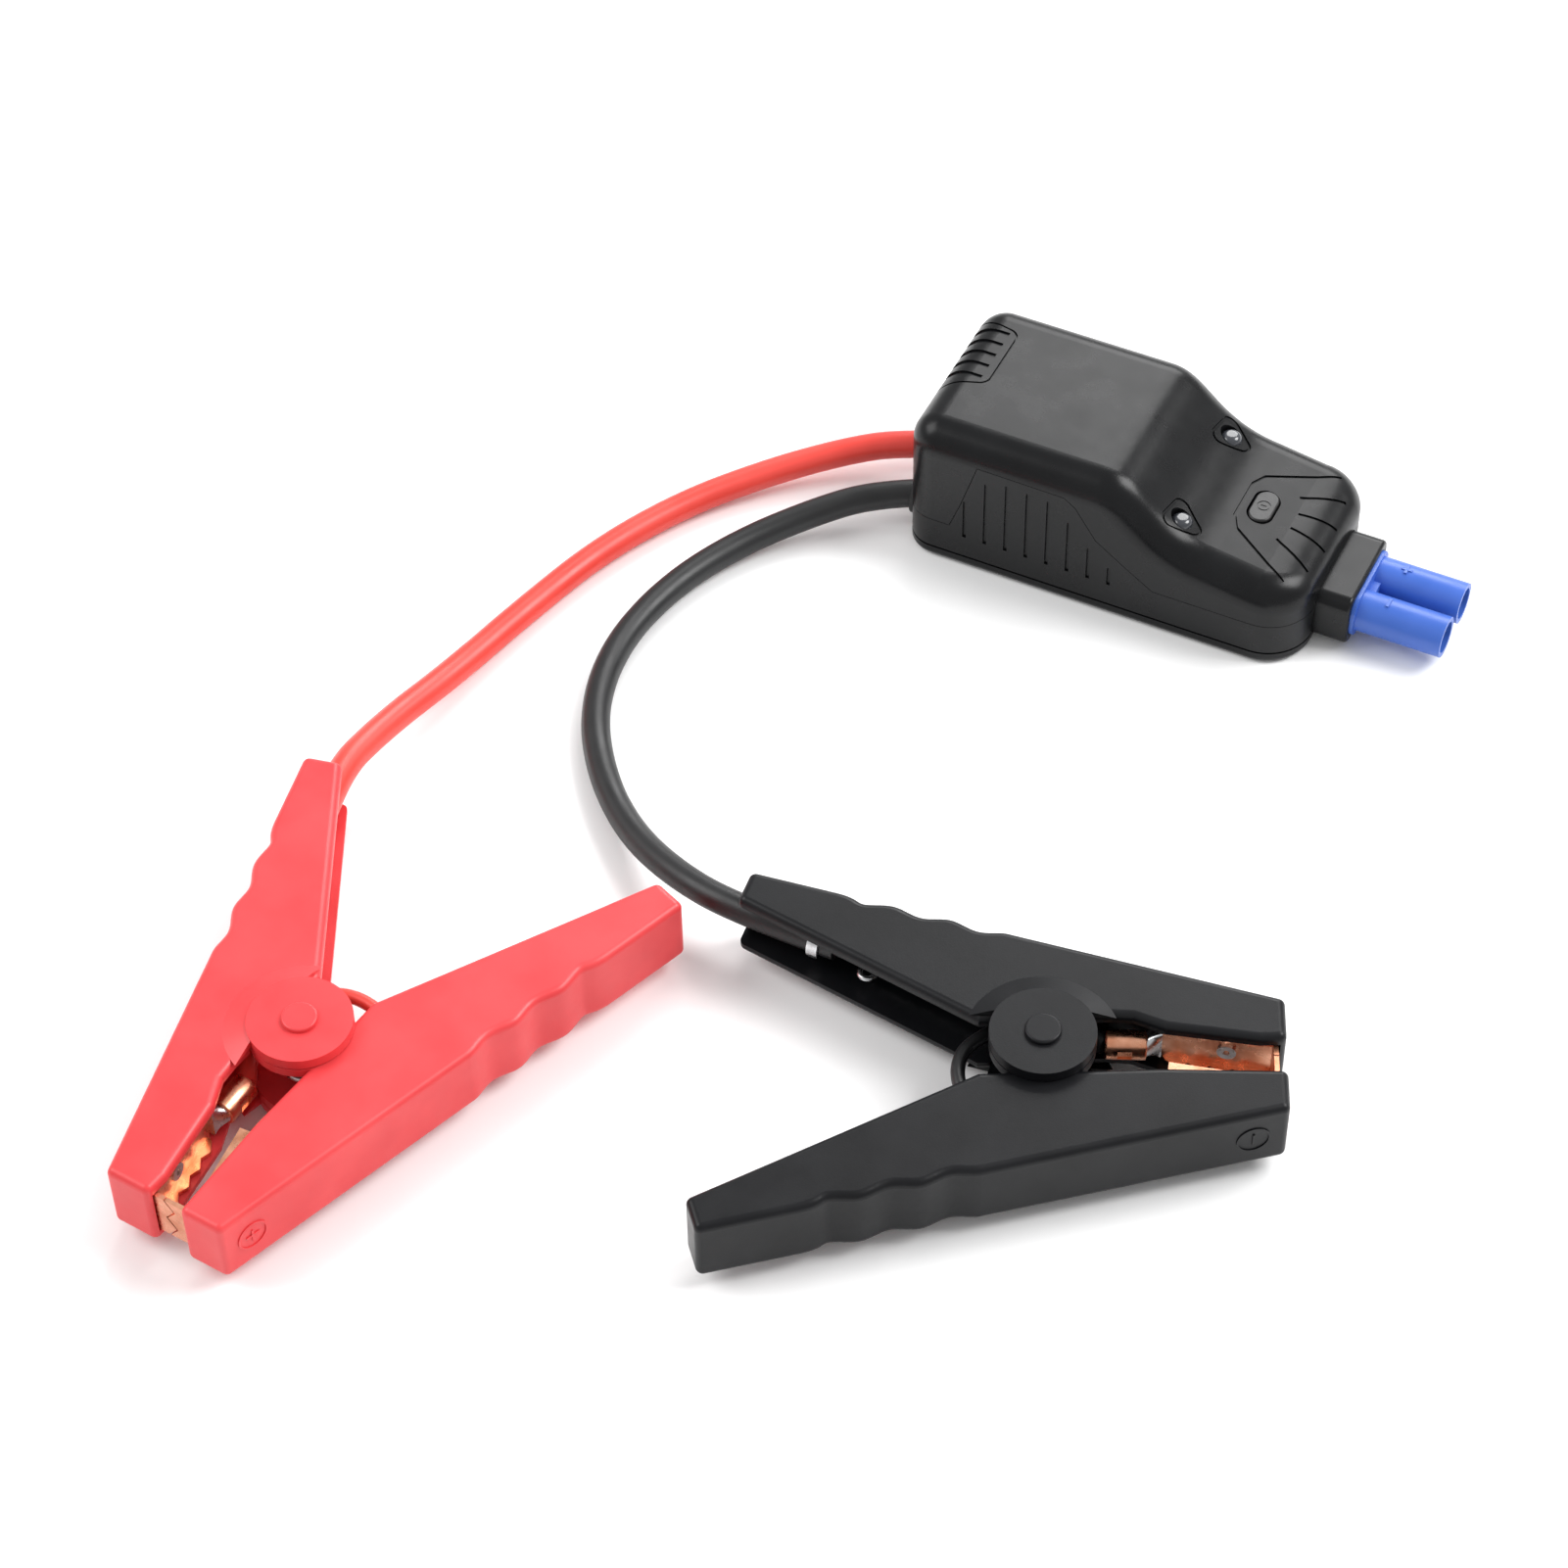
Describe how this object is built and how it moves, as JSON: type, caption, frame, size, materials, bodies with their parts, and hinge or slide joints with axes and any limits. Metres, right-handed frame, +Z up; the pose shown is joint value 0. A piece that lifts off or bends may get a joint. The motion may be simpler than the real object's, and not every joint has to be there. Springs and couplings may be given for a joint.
{
  "type": "jump starter clamp lead",
  "caption": "Smart jump-starter lead: control box with two-pole plug, power button and status lenses, cabled to a red and a black spring battery clamp.",
  "frame": {"origin": "centre of the control box's flat underside", "axes": "+X along the two-pole plug, out of the box; +Z up; +Y to the box's left"},
  "size_m": [0.2259, 0.2949, 0.0385],
  "materials": {
    "black_shell": "satin moulded ABS",
    "plug_blue": "satin nylon",
    "button_black": "satin",
    "lens": "clear dark dome",
    "contact_gold": "gold plated",
    "zinc": "zinc plated",
    "board": "solder mask",
    "relay_black": "satin",
    "copper": "bare copper sheet",
    "bush_rubber": "matt",
    "red_sheath": "satin PVC",
    "black_sheath": "satin PVC",
    "red_moulding": "satin moulded",
    "black_moulding": "satin moulded"
  },
  "bodies": {
    "control_box": {"upper_housing": "black_shell", "lower_housing": "black_shell", "plug_collar": "black_shell", "plug_body": "plug_blue", "left_status_lens": "lens", "right_status_lens": "lens", "plug_contact_positive": "contact_gold", "plug_contact_negative": "contact_gold", "case_screws": "zinc", "circuit_board": "board", "power_relay": "relay_black", "mosfet_bank": "relay_black", "tactile_switch": "relay_black", "capacitors": "relay_black", "positive_busbar": "copper", "negative_busbar": "copper", "red_cable_bush": "bush_rubber", "black_cable_bush": "bush_rubber", "red_cable": "red_sheath", "black_cable": "black_sheath", "red_cable_handle": "red_moulding", "red_inner_lead": "red_sheath", "red_pivot_pin": "red_moulding", "red_torsion_spring": "zinc", "red_cable_clip": "zinc", "red_fixed_jaw_rivet": "zinc", "red_conductor_end": "zinc", "red_fixed_jaw": "copper", "red_cable_crimp": "copper", "red_link_wire": "red_sheath", "black_cable_handle": "black_moulding", "black_inner_lead": "black_sheath", "black_pivot_pin": "black_moulding", "black_torsion_spring": "zinc", "black_cable_clip": "zinc", "black_fixed_jaw_rivet": "zinc", "black_conductor_end": "zinc", "black_fixed_jaw": "copper", "black_cable_crimp": "copper", "black_link_wire": "black_sheath"},
    "power_button": {"power_button": "button_black"},
    "red_lever": {"red_lever_handle": "red_moulding", "red_moving_jaw": "copper", "red_moving_jaw_rivet": "zinc"},
    "black_lever": {"black_lever_handle": "black_moulding", "black_moving_jaw": "copper", "black_moving_jaw_rivet": "zinc"}
  },
  "joints": [
    {"name": "power_button_press", "type": "slide", "parent": "control_box", "child": "power_button", "axis": [0, 0, -1], "range_m": [0, 0.0005], "stiffness_N_per_m": 600},
    {"name": "red_clamp_open", "type": "hinge", "parent": "control_box", "child": "red_lever", "pos_m": [-0.09289, -0.2199, 0.012], "axis": [0, 0, 1], "range_deg": [0, 34], "stiffness_Nm_per_rad": 0.8, "springref_deg": -28.65, "deforming": ["red_torsion_spring", "red_link_wire"]},
    {"name": "black_clamp_open", "type": "hinge", "parent": "control_box", "child": "black_lever", "pos_m": [0.0448, -0.15817, 0.012], "axis": [0, 0, -1], "range_deg": [0, 34], "stiffness_Nm_per_rad": 0.8, "springref_deg": -28.65, "deforming": ["black_torsion_spring", "black_link_wire"]}
  ]
}
